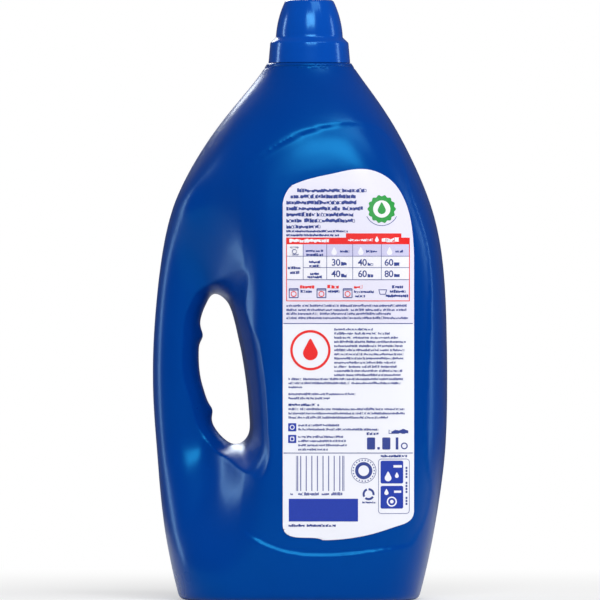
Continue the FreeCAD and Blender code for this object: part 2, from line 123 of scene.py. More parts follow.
bpy.ops.object.select_all(action="DESELECT")
bpy.ops.mesh.primitive_circle_add(vertices=96, radius=0.9, fill_type="NGON", location=(0, 0, 0))
floor = bpy.context.object
floor.name = "floor"
floor_material, floor_nodes, floor_links, floor_shader = new_material("pale_floor")
floor_shader.inputs["Roughness"].default_value = 0.9
floor_shader.inputs["Specular IOR Level"].default_value = 0.1
floor_place = floor_nodes.new("ShaderNodeTexCoord")
floor_grain = floor_nodes.new("ShaderNodeTexNoise")
floor_grain.inputs["Scale"].default_value = 3.0
floor_links.new(floor_place.outputs["Object"], floor_grain.inputs["Vector"])
floor_tone = floor_nodes.new("ShaderNodeMapRange")
floor_tone.inputs["To Min"].default_value = 0.86
floor_tone.inputs["To Max"].default_value = 0.90
floor_links.new(floor_grain.outputs["Fac"], floor_tone.inputs["Value"])
floor_links.new(floor_tone.outputs["Result"], floor_shader.inputs["Base Color"])
floor_reach = floor_nodes.new("ShaderNodeVectorMath")
floor_reach.operation = "LENGTH"
floor_links.new(floor_place.outputs["Object"], floor_reach.inputs[0])
floor_fade = floor_nodes.new("ShaderNodeMapRange")
floor_fade.interpolation_type = "SMOOTHSTEP"
floor_fade.inputs["From Min"].default_value = 0.15
floor_fade.inputs["From Max"].default_value = 0.85
floor_fade.inputs["To Min"].default_value = 0.45
floor_fade.inputs["To Max"].default_value = 1.0
floor_links.new(floor_reach.outputs["Value"], floor_fade.inputs["Value"])
floor_seen = floor_nodes.new("ShaderNodeLightPath")
floor_share = floor_nodes.new("ShaderNodeMath")
floor_share.operation = "MULTIPLY"
floor_links.new(floor_seen.outputs["Is Camera Ray"], floor_share.inputs[0])
floor_links.new(floor_fade.outputs["Result"], floor_share.inputs[1])
floor_white = floor_nodes.new("ShaderNodeEmission")
floor_mix = floor_nodes.new("ShaderNodeMixShader")
floor_links.new(floor_share.outputs[0], floor_mix.inputs[0])
floor_links.new(floor_shader.outputs[0], floor_mix.inputs[1])
floor_links.new(floor_white.outputs[0], floor_mix.inputs[2])
floor_links.new(floor_mix.outputs[0], floor_nodes["Material Output"].inputs["Surface"])
floor.data.materials.append(floor_material)


# Bottle. One blow-moulded shell of deep blue polyethylene, with its handle blown in one with the body. Its
# satin skin is a little uneven and its creases are soft.
def smooth_copy(node, name, body, angle):
    """Copies a solid of the frame as a welded mesh whose faces are smooth up to the angle given."""
    bpy.ops.object.select_all(action="DESELECT")
    piece = nodes[node].copy()
    piece.data = nodes[node].data.copy()
    piece.name = name
    for key in list(piece.keys()):
        del piece[key]
    piece.parent = None
    scene.collection.objects.link(piece)
    piece.select_set(True)
    bpy.context.view_layer.objects.active = piece
    bpy.ops.object.mode_set(mode="EDIT")
    bpy.ops.mesh.select_all(action="SELECT")
    bpy.ops.mesh.remove_doubles(threshold=2e-6)
    bpy.ops.object.mode_set(mode="OBJECT")
    bpy.ops.object.shade_smooth_by_angle(angle=math.radians(angle))
    piece.data.materials.clear()
    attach(piece, body)
    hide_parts(node)
    return piece


# The outer skin up to the shoulder is remeshed evenly, softened at its creases and thinned again. The neck
# above it is not softened.
shoulder_cut = cad_low.z + 0.3320
neck_cut = shoulder_cut - 0.0015
skin_grain = 0.0011
skin_faces = 120000


def edit(piece):
    """Takes one piece into edit mode with nothing selected."""
    bpy.ops.object.select_all(action="DESELECT")
    piece.select_set(True)
    bpy.context.view_layer.objects.active = piece
    bpy.ops.object.mode_set(mode="EDIT")
    bpy.ops.mesh.select_all(action="DESELECT")


def keep_part(piece, height, above):
    """Cuts a piece level at the height given and keeps the part above or below."""
    edit(piece)
    bpy.ops.mesh.select_all(action="SELECT")
    bpy.ops.mesh.bisect(plane_co=(0, 0, height), plane_no=(0, 0, 1), clear_outer=not above, clear_inner=above)
    bpy.ops.object.mode_set(mode="OBJECT")


def loose_parts(piece):
    """Parts a piece into its loose shells, the widest last."""
    edit(piece)
    bpy.ops.mesh.select_all(action="SELECT")
    bpy.ops.mesh.separate(type="LOOSE")
    bpy.ops.object.mode_set(mode="OBJECT")
    return sorted(bpy.context.selected_objects, key=lambda part: part.dimensions.x)


bottle = smooth_copy("bottle", "blown_bottle", "bottle", 32)
neck = bottle.copy()
neck.data = bottle.data.copy()
scene.collection.objects.link(neck)
keep_part(neck, neck_cut, above=True)
keep_part(bottle, shoulder_cut, above=False)
shells = loose_parts(bottle)
lining = shells[0]
bottle = shells[-1]
bottle.name = "blown_bottle"
edit(bottle)
bpy.ops.mesh.select_non_manifold()
bpy.ops.mesh.edge_face_add()
bpy.ops.object.mode_set(mode="OBJECT")
grain = bottle.modifiers.new("skin_grain", "REMESH")
grain.mode = "VOXEL"
grain.voxel_size = skin_grain
bpy.ops.object.modifier_apply(modifier="skin_grain")
soften = bottle.modifiers.new("soft_creases", "SMOOTH")
soften.factor = 0.5
soften.iterations = 6
bpy.ops.object.modifier_apply(modifier="soft_creases")

# The arc over the rear panel runs out into the shoulder, so its crease is softer still.
arc_low = cad_low.z + 0.262
arc_high = cad_low.z + 0.300
arc_front = -0.02
arc_fade = 0.006
arc_zone = bottle.vertex_groups.new(name="arc_zone")
for vertex in bottle.data.vertices:
    if vertex.co.y < arc_front and arc_low < vertex.co.z < arc_high:
        edge_distance = min(vertex.co.z - arc_low, arc_high - vertex.co.z)
        arc_zone.add([vertex.index], min(1.0, edge_distance / arc_fade), "REPLACE")
soften = bottle.modifiers.new("soft_arc", "SMOOTH")
soften.factor = 0.5
soften.iterations = 16
soften.vertex_group = "arc_zone"
bpy.ops.object.modifier_apply(modifier="soft_arc")
bottle.vertex_groups.clear()
thin = bottle.modifiers.new("fewer_faces", "DECIMATE")
thin.ratio = skin_faces / (2 * len(bottle.data.polygons))
bpy.ops.object.modifier_apply(modifier="fewer_faces")
bpy.ops.object.shade_smooth()

# A fine groove runs round the shoulder just below the cap.
groove_height = cad_low.z + 0.3294
groove_half = 0.0007
groove_depth = 0.0004
on_the_line = 1e-5
insert_low, insert_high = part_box("pouring_insert")
neck_across = (insert_low[0] + insert_high[0]) / 2
edit(bottle)
for height in (groove_height - groove_half, groove_height, groove_height + groove_half):
    bpy.ops.mesh.select_all(action="SELECT")
    bpy.ops.mesh.bisect(plane_co=(0, 0, height), plane_no=(0, 0, 1))
bpy.ops.object.mode_set(mode="OBJECT")
for vertex in bottle.data.vertices:
    if abs(vertex.co.z - groove_height) < on_the_line:
        across = vertex.co.x - neck_across
        share = groove_depth / math.hypot(across, vertex.co.y)
        vertex.co.x -= share * across
        vertex.co.y -= share * vertex.co.y


def delete_faces(piece, unwanted):
    """Deletes the faces of a piece that the test given picks out."""
    edit(piece)
    bpy.ops.object.mode_set(mode="OBJECT")
    for face in piece.data.polygons:
        face.select = unwanted(face)
    bpy.ops.object.mode_set(mode="EDIT")
    bpy.ops.mesh.delete(type="FACE")
    bpy.ops.object.mode_set(mode="OBJECT")


def join_into(piece, other):
    """Joins another piece into the first one."""
    bpy.ops.object.select_all(action="DESELECT")
    other.select_set(True)
    piece.select_set(True)
    bpy.context.view_layer.objects.active = piece
    bpy.ops.object.join()


def bridge_openings(piece):
    """Closes the wall between the two open edges of a piece."""
    edit(piece)
    bpy.ops.mesh.select_non_manifold()
    bpy.ops.mesh.bridge_edge_loops()
    bpy.ops.object.mode_set(mode="OBJECT")


def lies_over_bore(face):
    """Tells whether a face belongs to the level top of the skin, inside the middle of the neck's wall."""
    reach = math.hypot(face.center.x - neck_across, face.center.y)
    return face.center.z > shoulder_cut - top_edge and face.normal.z > level_enough and reach < wall_middle


# The top of the skin is opened inside the neck's wall and joined to the lining below it.
wall_middle = 0.0203
top_edge = 0.0012
level_enough = 0.8
delete_faces(bottle, lies_over_bore)
join_into(bottle, lining)
bridge_openings(bottle)
bridge_openings(neck)
join_into(bottle, neck)
bottle_blue = (0.0004, 0.044, 0.29, 1.0)
bottle_deep = (0.0002, 0.037, 0.25, 1.0)
blown_plastic, blown_nodes, blown_links, blown_shader = new_material("blown_polyethylene")
blown_shader.inputs["IOR"].default_value = 1.5
blown_shader.inputs["Specular IOR Level"].default_value = 0.5
blown_shader.inputs["Specular Tint"].default_value = (0.03, 0.55, 1.0, 1.0)
blown_place = blown_nodes.new("ShaderNodeTexCoord")
cloud = blown_nodes.new("ShaderNodeTexNoise")
cloud.inputs["Scale"].default_value = 18.0
cloud.inputs["Detail"].default_value = 3.0
blown_links.new(blown_place.outputs["Object"], cloud.inputs["Vector"])
tone = blown_nodes.new("ShaderNodeMix")
tone.data_type = "RGBA"
tone.inputs[6].default_value = bottle_deep
tone.inputs[7].default_value = bottle_blue
blown_links.new(cloud.outputs["Fac"], tone.inputs[0])
blown_links.new(tone.outputs[2], blown_shader.inputs["Base Color"])
gloss = blown_nodes.new("ShaderNodeMapRange")
gloss.inputs["To Min"].default_value = 0.24
gloss.inputs["To Max"].default_value = 0.34
blown_links.new(cloud.outputs["Fac"], gloss.inputs["Value"])
blown_links.new(gloss.outputs["Result"], blown_shader.inputs["Roughness"])
peel = blown_nodes.new("ShaderNodeTexNoise")
peel.inputs["Scale"].default_value = 900.0
peel.inputs["Detail"].default_value = 2.0
blown_links.new(blown_place.outputs["Object"], peel.inputs["Vector"])
peel_bump = blown_nodes.new("ShaderNodeBump")
peel_bump.inputs["Strength"].default_value = 0.12
peel_bump.inputs["Distance"].default_value = 0.00006
blown_links.new(peel.outputs["Fac"], peel_bump.inputs["Height"])
blown_links.new(peel_bump.outputs["Normal"], blown_shader.inputs["Normal"])
bottle.data.materials.append(blown_plastic)


def thread_ridge(name, root, crest, height, body):
    """Winds one low ridge round the axis of the neck and lets it run out at both ends."""
    bpy.ops.object.select_all(action="DESELECT")
    bpy.ops.mesh.primitive_circle_add(vertices=4, radius=0.001, location=(neck_across, 0, 0))
    ridge = bpy.context.object
    ridge.name = name
    outline = ((root, -thread_foot), (crest, -thread_top), (crest, thread_top), (root, thread_foot))
    for vertex, (reach, rise) in zip(ridge.data.vertices, outline):
        vertex.co = (reach, 0, height + rise)
    wind = ridge.modifiers.new("wind", "SCREW")
    wind.axis = "Z"
    wind.angle = 2 * math.pi * thread_turns
    wind.screw_offset = thread_turns * thread_pitch
    wind.steps = thread_steps
    wind.render_steps = thread_steps
    bpy.ops.object.modifier_apply(modifier="wind")
    last = len(ridge.data.vertices) // 4 - 1
    for vertex in ridge.data.vertices:
        way = (vertex.index // 4) / last
        swell = min(1.0, min(way, 1 - way) / thread_run_out)
        reach = math.hypot(vertex.co.x, vertex.co.y)
        share = (root + swell * (reach - root)) / reach
        vertex.co.x *= share
        vertex.co.y *= share
    edit(ridge)
    bpy.ops.mesh.select_non_manifold()
    bpy.ops.mesh.edge_face_add()
    bpy.ops.mesh.select_all(action="SELECT")
    bpy.ops.mesh.normals_make_consistent(inside=False)
    bpy.ops.object.mode_set(mode="OBJECT")
    bpy.ops.object.shade_smooth_by_angle(angle=math.radians(50))
    bpy.ops.object.transform_apply(location=True, rotation=True, scale=True)
    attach(ridge, body)
    return ridge


# One thread of about a turn winds round the neck. Its ends run out into the wall.
thread_turns = 1.2
thread_pitch = 0.0042
thread_steps = 90
thread_run_out = 0.12
thread_foot = 0.0012
thread_top = 0.00045
neck_thread_height = cad_low.z + 0.3366
neck_thread = thread_ridge("neck_thread", 0.0213, 0.02275, neck_thread_height, "bottle")
neck_thread.data.materials.append(blown_plastic)

# Pouring insert. One injection-moulded piece of natural polyethylene, pressed into the neck, with a slotted
# spout in a sloping trough. It is seen only when the cap is off.
insert = smooth_copy("pouring_insert", "pouring_insert_moulding", "bottle", 30)
insert_plastic, insert_nodes, insert_links, insert_shader = new_material("natural_polyethylene")
insert_place = insert_nodes.new("ShaderNodeTexCoord")
insert_cloud = insert_nodes.new("ShaderNodeTexNoise")
insert_cloud.inputs["Scale"].default_value = 60.0
insert_links.new(insert_place.outputs["Object"], insert_cloud.inputs["Vector"])
insert_tone = insert_nodes.new("ShaderNodeMix")
insert_tone.data_type = "RGBA"
insert_tone.inputs[6].default_value = (0.74, 0.76, 0.77, 1.0)
insert_tone.inputs[7].default_value = (0.80, 0.81, 0.81, 1.0)
insert_links.new(insert_cloud.outputs["Fac"], insert_tone.inputs[0])
insert_links.new(insert_tone.outputs[2], insert_shader.inputs["Base Color"])
insert_shader.inputs["Roughness"].default_value = 0.38
insert_shader.inputs["Subsurface Weight"].default_value = 0.15
insert_shader.inputs["Subsurface Scale"].default_value = 0.002
insert.data.materials.append(insert_plastic)

# Dosing cap. One injection-moulded piece of blue polypropylene, brighter and glossier than the bottle.
cap = smooth_copy("dosing_cap", "dosing_cap_moulding", "dosing_cap", 30)
cap_plastic, cap_nodes, cap_links, cap_shader = new_material("cap_polypropylene")
cap_place = cap_nodes.new("ShaderNodeTexCoord")
cap_cloud = cap_nodes.new("ShaderNodeTexNoise")
cap_cloud.inputs["Scale"].default_value = 30.0
cap_links.new(cap_place.outputs["Object"], cap_cloud.inputs["Vector"])
cap_tone = cap_nodes.new("ShaderNodeMix")
cap_tone.data_type = "RGBA"
cap_tone.inputs[6].default_value = (0.0015, 0.060, 0.385, 1.0)
cap_tone.inputs[7].default_value = (0.0020, 0.070, 0.430, 1.0)
cap_links.new(cap_cloud.outputs["Fac"], cap_tone.inputs[0])
cap_links.new(cap_tone.outputs[2], cap_shader.inputs["Base Color"])
cap_shader.inputs["Roughness"].default_value = 0.17
cap_shader.inputs["Specular Tint"].default_value = (0.15, 0.6, 1.0, 1.0)
cap.data.materials.append(cap_plastic)

# The thread inside the skirt lies half a pitch below the thread of the neck.
cap_thread = thread_ridge("cap_thread", 0.0233, 0.02185, neck_thread_height - thread_pitch / 2, "dosing_cap")
cap_thread.data.materials.append(cap_plastic)


# Rear label. One printed film in the recess of the rear panel, pale lavender above and white below.
def part_along_grid(piece, step):
    """Parts the faces of the active piece along a grid, so that it can bend with the panel."""
    bpy.ops.object.mode_set(mode="EDIT")
    for axis, normal in ((0, (1, 0, 0)), (2, (0, 0, 1))):
        places = [vertex.co[axis] for vertex in piece.data.vertices]
        first = math.ceil(min(places) / step)
        last = math.floor(max(places) / step)
        for line in range(first, last + 1):
            bpy.ops.mesh.select_all(action="SELECT")
            bpy.ops.mesh.bisect(plane_co=[line * step * value for value in normal], plane_no=normal)
    bpy.ops.object.mode_set(mode="OBJECT")


film_cell = 0.003
label = smooth_copy("rear_label", "rear_label_film", "bottle", 30)
part_along_grid(label, film_cell)
even = label.modifiers.new("even_shading", "WEIGHTED_NORMAL")
even.keep_sharp = True
even.weight = 100
bpy.ops.object.modifier_apply(modifier="even_shading")
lavender_foot = 0.1712
label_film, film_nodes, film_links, film_shader = new_material("printed_film")
film_place = film_nodes.new("ShaderNodeTexCoord")
film_split = film_nodes.new("ShaderNodeSeparateXYZ")
film_links.new(film_place.outputs["Object"], film_split.inputs["Vector"])
film_zone = film_nodes.new("ShaderNodeMath")
film_zone.operation = "GREATER_THAN"
film_zone.inputs[1].default_value = lavender_foot
film_links.new(film_split.outputs["Z"], film_zone.inputs[0])
film_tone = film_nodes.new("ShaderNodeMix")
film_tone.data_type = "RGBA"
film_tone.inputs[6].default_value = (0.84, 0.85, 0.92, 1.0)
film_tone.inputs[7].default_value = (0.76, 0.75, 0.89, 1.0)
film_links.new(film_zone.outputs[0], film_tone.inputs[0])
film_links.new(film_tone.outputs[2], film_shader.inputs["Base Color"])
film_shader.inputs["Roughness"].default_value = 0.4
label.data.materials.append(label_film)

# The skin of the bottle lies a little behind the film, so that the film's edge stays clear of it.
film_tree = BVHTree.FromObject(label, bpy.context.evaluated_depsgraph_get())
film_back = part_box("rear_label")[1][1] + 0.002
film_seat = 0.00035
film_reach = 0.0016
for vertex in bottle.data.vertices:
    if vertex.co.y < film_back:
        nearest = film_tree.find_nearest(vertex.co, film_reach)[0]
        if nearest is not None:
            vertex.co.y = max(vertex.co.y, nearest.y + film_seat)

# Print on the label. Thin layers of ink lie on the film. Every place is measured from the middle of the
# standing ring as one faces the label: across is to the right, and up is above the shelf.
mm = 0.001
ink_layer = 0.06 * mm
ink_roughness = 0.42
print_plane = cad_low.y - 5 * mm
dice = random.Random(11)


def ink(name, colour):
    """Makes a printing ink whose tone is a little uneven, as a halftone is."""
    material, parts, links, shader = new_material(name)
    place = parts.new("ShaderNodeTexCoord")
    speck = parts.new("ShaderNodeTexNoise")
    speck.inputs["Scale"].default_value = 1400.0
    speck.inputs["Detail"].default_value = 1.0
    links.new(place.outputs["Object"], speck.inputs["Vector"])
    blend = parts.new("ShaderNodeMix")
    blend.data_type = "RGBA"
    blend.inputs[6].default_value = tuple(0.9 * value for value in colour) + (1.0,)
    blend.inputs[7].default_value = tuple(min(1.0, 1.06 * value + 0.004) for value in colour) + (1.0,)
    links.new(speck.outputs["Fac"], blend.inputs[0])
    links.new(blend.outputs[2], shader.inputs["Base Color"])
    shader.inputs["Roughness"].default_value = ink_roughness
    return material


navy_ink = ink("navy_ink", (0.020, 0.045, 0.26))
blue_ink = ink("blue_ink", (0.0, 0.030, 0.37))
grey_ink = ink("grey_blue_ink", (0.13, 0.15, 0.36))
red_ink = ink("red_ink", (0.80, 0.006, 0.006))
green_ink = ink("green_ink", (0.010, 0.31, 0.045))
white_ink = ink("white_ink", (0.86, 0.86, 0.93))
pale_ink = ink("lavender_ink", (0.60, 0.59, 0.82))


def field(across, up, width, height, columns=1, rows=1):
    """Adds an upright sheet of cells whose lower left corner is at the place given."""
    bpy.ops.object.select_all(action="DESELECT")
    bpy.ops.mesh.primitive_grid_add(
        x_subdivisions=columns,
        y_subdivisions=rows,
        size=1,
        location=(across + width / 2, print_plane, up + height / 2),
        rotation=(math.radians(90), 0, 0),
    )
    piece = bpy.context.object
    piece.scale = (width, height, 1)
    bpy.ops.object.transform_apply(location=True, rotation=True, scale=True)
    return piece


def round_corners(piece, radius):
    """Rounds the four corners of a plain field."""
    edit(piece)
    bpy.ops.mesh.select_all(action="SELECT")
    bpy.ops.mesh.bevel(offset=radius, segments=5, affect="VERTICES")
    bpy.ops.object.mode_set(mode="OBJECT")
    return piece


def hollow_out(piece, width):
    """Leaves only a border of the width given."""
    edit(piece)
    bpy.ops.mesh.select_all(action="SELECT")
    bpy.ops.mesh.inset(thickness=width)
    bpy.ops.mesh.delete(type="FACE")
    bpy.ops.object.mode_set(mode="OBJECT")
    return piece


def disc(across, up, radius, sides=40):
    """Adds an upright disc."""
    bpy.ops.object.select_all(action="DESELECT")
    bpy.ops.mesh.primitive_circle_add(
        vertices=sides,
        radius=radius,
        fill_type="NGON",
        location=(across, print_plane, up),
        rotation=(math.radians(90), 0, 0),
    )
    piece = bpy.context.object
    bpy.ops.object.transform_apply(location=True, rotation=True, scale=True)
    return piece


drop_rise = 0.9
drop_narrow = 0.45


def drop(across, up, radius):
    """Adds a drop of water: a disc whose top is drawn up to a point."""
    piece = disc(across, up, radius, 24)
    for vertex in piece.data.vertices:
        rise = (vertex.co.z - up) / radius
        if rise > 0:
            vertex.co.z += drop_rise * radius * rise ** 3
            vertex.co.x = across + (vertex.co.x - across) * (1 - drop_narrow * rise ** 2)
    return piece


# A word has up to nine marks. The gap round a mark and the step of a low one are shares of the row's height.
mark_gap = 0.11
low_marks = 0.6
low_step = 0.2


def word_row(across, up, length, height, letter=0.62):
    """Adds one line of print as a row of small marks with gaps between the words."""
    count = max(2, round(length / (letter * height)))
    piece = field(across, up, length, height, count, 1)
    bpy.ops.object.mode_set(mode="EDIT")
    bpy.ops.mesh.select_all(action="SELECT")
    bpy.ops.mesh.inset(thickness=mark_gap * height, use_individual=True)
    bpy.ops.mesh.select_all(action="INVERT")
    bpy.ops.mesh.delete(type="FACE")
    bpy.ops.mesh.select_all(action="DESELECT")
    bpy.ops.object.mode_set(mode="OBJECT")
    marks = sorted(piece.data.polygons, key=lambda mark: mark.center.x)
    word = dice.randint(2, 9)
    for mark in marks:
        word -= 1
        if word < 0:
            mark.select = True
            word = dice.randint(2, 9)
        elif dice.random() < low_marks:
            middle_height = mark.center.z
            for number in mark.vertices:
                vertex = piece.data.vertices[number]
                if vertex.co.z > middle_height:
                    vertex.co.z -= low_step * height
    bpy.ops.object.mode_set(mode="EDIT")
    bpy.ops.mesh.delete(type="FACE")
    bpy.ops.object.mode_set(mode="OBJECT")
    return piece


largest_flat = 8 * mm * mm
ink_cell = 3 * mm


def lay_on_label(pieces, name, material, layer):
    """Joins pieces of print, lays them on the film as a layer of ink and gives them their colour."""
    bpy.ops.object.select_all(action="DESELECT")
    for piece in pieces:
        piece.select_set(True)
    bpy.context.view_layer.objects.active = pieces[0]
    if len(pieces) > 1:
        bpy.ops.object.join()
    layered = bpy.context.object
    layered.name = name
    if max(face.area for face in layered.data.polygons) > largest_flat:
        part_along_grid(layered, ink_cell)
    lay = layered.modifiers.new("lay", "SHRINKWRAP")
    lay.target = label
    lay.wrap_method = "PROJECT"
    lay.use_project_y = True
    lay.use_positive_direction = True
    lay.use_negative_direction = False
    lay.offset = layer * ink_layer
    bpy.ops.object.modifier_apply(modifier="lay")
    thick = layered.modifiers.new("thick", "SOLIDIFY")
    thick.thickness = ink_layer
    thick.offset = 1.0
    bpy.ops.object.modifier_apply(modifier="thick")
    layered.data.materials.append(material)
    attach(layered, "bottle")


# Words at the top: seven bold lines and two small ones.
bold = 2.5 * mm
fine = 1.45 * mm
text_left = -8.4 * mm
headline = [
    (-1.8, 42.7),
    (-5.8, 40.1),
    (-8.4, 43.1),
    (-8.4, 47.1),
    (-8.4, 41.4),
    (-8.4, 42.2),
    (-8.4, 21.0),
]
headline_top = 252.2
headline_pitch = 3.72
rows = []
for index, (across, length) in enumerate(headline):
    rows.append(word_row(across * mm, (headline_top - headline_pitch * index) * mm, length * mm, bold))
rows.append(word_row(text_left, 227.5 * mm, 37.8 * mm, fine))
rows.append(word_row(text_left, 225.1 * mm, 32.4 * mm, fine))
lay_on_label(rows, "headline_words", navy_ink, 2)

# Small print: lines of plain marks, each given by its left end, its height and its length.
rows = []
for up, length in ((181.7, 74.2), (179.1, 73.9), (176.7, 64.3), (174.1, 74.9)):
    rows.append(word_row(text_left, up * mm, length * mm, fine))
notice_left = 21.0
notice = [23.8, 34.2, 39.3, 44.1, 42.1, 43.5, 42.5, 44.1, 37.9, 38.6, 41.9, 40.9]
notice_top = 167.1
notice_pitch = 2.553
for index, length in enumerate(notice):
    rows.append(word_row(notice_left * mm, (notice_top - notice_pitch * index) * mm, length * mm, fine))
lower_left = -7.1
lower = [
    (136.5, 72.0),
    (134.0, 69.3),
    (131.5, 8.4),
    (127.3, 41.1),
    (124.7, 25.4),
    (118.0, 71.5),
    (115.4, 71.5),
    (112.8, 61.2),
]
for up, length in lower:
    rows.append(word_row(lower_left * mm, up * mm, length * mm, fine))
address_left = -1.1
address = [(108.1, 25.2), (105.5, 49.4), (101.0, 27.6), (98.4, 29.3), (95.8, 30.0), (93.2, 18.3)]
for up, length in address:
    rows.append(word_row(address_left * mm, up * mm, length * mm, fine))
lay_on_label(rows, "small_print", grey_ink, 2)
rows = [
    word_row(lower_left * mm, 120.6 * mm, 18.8 * mm, 1.1 * fine),
    word_row(-7.0 * mm, 46.3 * mm, 29.0 * mm, 1.1 * fine),
    word_row(41.0 * mm, 102.8 * mm, 7.3 * mm, 1.2 * fine),
    word_row(54.6 * mm, 103.4 * mm, 12.0 * mm, 2.2 * fine),
    word_row(49.7 * mm, 89.1 * mm, 16.2 * mm, 1.1 * fine),
]
lay_on_label(rows, "bold_words", navy_ink, 2)

# Rules between the three parts of the label.
rules = [
    field(-10.2 * mm, 171.0 * mm, 79.6 * mm, 0.45 * mm, 40, 1),
    field(-10.2 * mm, 91.3 * mm, 79.6 * mm, 0.45 * mm, 40, 1),
]
lay_on_label(rules, "label_rules", navy_ink, 1)

# Green badge: a scalloped ring round a pale disc with a drop, and a thin arc below it.
badge_across = 50.3 * mm
badge_up = 241.7 * mm
badge = disc(badge_across, badge_up, 8.3 * mm, 144)
for vertex in badge.data.vertices:
    turn = math.atan2(vertex.co.z - badge_up, vertex.co.x - badge_across)
    swell = 1 + 0.055 * math.cos(14 * turn)
    vertex.co.x = badge_across + (vertex.co.x - badge_across) * swell
    vertex.co.z = badge_up + (vertex.co.z - badge_up) * swell
lay_on_label([badge], "badge_ring", green_ink, 1)
lay_on_label([disc(badge_across, badge_up, 5.3 * mm)], "badge_middle", white_ink, 2)
lay_on_label([drop(badge_across, badge_up - 0.6 * mm, 2.5 * mm)], "badge_drop", green_ink, 3)
arc = hollow_out(disc(badge_across, badge_up, 10.4 * mm, 96), 0.35 * mm)
arc_top = badge_up - 4.4 * mm
delete_faces(arc, lambda face: face.center.z > arc_top)
lay_on_label([arc], "badge_arc", navy_ink, 1)

# Dosing table: a red frame with a heading and a tab, shaded column heads, thin rules, numbers and marks.
table_left = -8.5 * mm
table_right = 67.6 * mm
table_low = 184.9 * mm
table_top = 220.0 * mm
head_top = 224.1 * mm
frame_line = 0.5 * mm
table_width = table_right - table_left
lay_on_label(
    [
        field(table_left, table_top, table_width, head_top - table_top, 38, 2),
        field(28.3 * mm, head_top, 34.1 * mm, 2.6 * mm, 17, 1),
    ],
    "table_heading",
    red_ink,
    1,
)
sides = [
    field(table_left, table_low, frame_line, table_top - table_low, 1, 16),
    field(table_right - frame_line, table_low, frame_line, table_top - table_low, 1, 16),
    field(table_left, table_low, table_width, frame_line, 38, 1),
]
lay_on_label(sides, "table_frame", red_ink, 1)
inner_left = table_left + frame_line
inner_width = table_width - 2 * frame_line
head_low = 212.5 * mm
cells_low = 198.2 * mm
ground = field(inner_left, cells_low, inner_width, table_top - cells_low, 38, 9)
lay_on_label([ground], "table_ground", white_ink, 1)
heads = field(1.9 * mm, head_low, 65.2 * mm, table_top - head_low, 32, 4)
lay_on_label([heads], "table_heads", pale_ink, 2)
rule_width = 0.3 * mm
rules = [
    field(inner_left, head_low, inner_width, rule_width, 38, 1),
    field(1.9 * mm, 205.5 * mm, 65.2 * mm, rule_width, 32, 1),
    field(inner_left, 198.1 * mm, inner_width, rule_width, 38, 1),
]
for across in (1.8, 16.3, 32.3, 49.9):
    rules.append(field(across * mm, cells_low, rule_width, table_top - cells_low, 1, 10))
lay_on_label(rules, "table_rules", navy_ink, 3)


digit_share = 0.7
digit_spacing = 0.95
digit_weight = 0.018


def number(body, across, up, height):
    """Adds a plain number that stands on the line given."""
    bpy.ops.object.select_all(action="DESELECT")
    bpy.ops.object.text_add(location=(across, print_plane, up), rotation=(math.radians(90), 0, 0))
    figure = bpy.context.object
    figure.data.body = body
    figure.data.size = height / digit_share
    figure.data.space_character = digit_spacing
    figure.data.offset = digit_weight * height
    bpy.ops.object.convert(target="MESH")
    bpy.ops.object.transform_apply(location=True, rotation=True, scale=True)
    return bpy.context.object


figures = []
units = []
for up, doses in ((206.9, ("30", "40", "60")), (199.9, ("40", "60", "80"))):
    for across, dose in zip((19.3, 35.6, 51.9), doses):
        figures.append(number(dose, across * mm, up * mm, 4.0 * mm))
        units.append(word_row((across + 6.0) * mm, up * mm, 3.4 * mm, 2.4 * mm, 0.7))
lay_on_label(figures, "dose_numbers", navy_ink, 2)
for across, up, length in (
    (3.5, 215.3, 10.7),
    (3.9, 212.9, 10.3),
    (24.6, 215.0, 5.7),
    (40.6, 215.0, 6.8),
    (58.7, 215.0, 4.7),
    (5.5, 208.4, 7.0),
    (5.7, 206.0, 6.7),
    (6.2, 201.2, 5.4),
    (4.6, 199.2, 9.0),
    (-7.4, 204.8, 7.7),
    (-6.1, 201.9, 5.7),
):
    units.append(word_row(across * mm, up * mm, length * mm, 1.15 * fine))
lay_on_label(units, "table_words", navy_ink, 3)
marks = []
for across in (21.0, 37.4, 55.1):
    marks.append(drop(across * mm, 215.0 * mm, 1.7 * mm))
lay_on_label(marks, "stain_drops", white_ink, 3)
marks = [
    word_row(-6.6 * mm, 221.3 * mm, 24.4 * mm, bold),
    word_row(29.6 * mm, 222.0 * mm, 15.2 * mm, 1.1 * fine),
    word_row(50.3 * mm, 221.6 * mm, 10.7 * mm, 3.2 * mm, 0.75),
    drop(47.3 * mm, 222.6 * mm, 1.2 * mm),
]
lay_on_label(marks, "heading_words", white_ink, 2)

# Machine marks in the lowest row of the table and in its corner: a square with a round door.
marks = []
doors = []
for across, up, width in ((-6.9, 186.9, 6.0), (10.2, 186.9, 6.0), (26.3, 186.9, 6.0), (-6.1, 213.2, 5.3)):
    square = round_corners(field(across * mm, up * mm, width * mm, width * mm), 0.5 * mm)
    marks.append(hollow_out(square, 0.55 * mm))
    marks.append(field((across + 0.5) * mm, (up + 0.78 * width) * mm, (width - 1.0) * mm, 0.5 * mm))
    door = disc((across + width / 2) * mm, (up + 0.42 * width) * mm, 0.3 * width * mm, 24)
    (marks if up > 200 else doors).append(hollow_out(door, 0.5 * mm))
basin = field(48.2 * mm, 189.0 * mm, 5.4 * mm, 3.2 * mm)
for vertex in basin.data.vertices:
    if vertex.co.z < 190 * mm:
        vertex.co.x += 0.9 * mm if vertex.co.x < 50 * mm else -0.9 * mm
marks.append(hollow_out(basin, 0.45 * mm))
for across, up, length in ((56.6, 193.1, 6.8), (55.3, 190.3, 9.8), (52.8, 187.6, 13.8)):
    marks.append(word_row(across * mm, up * mm, length * mm, 1.3 * fine))
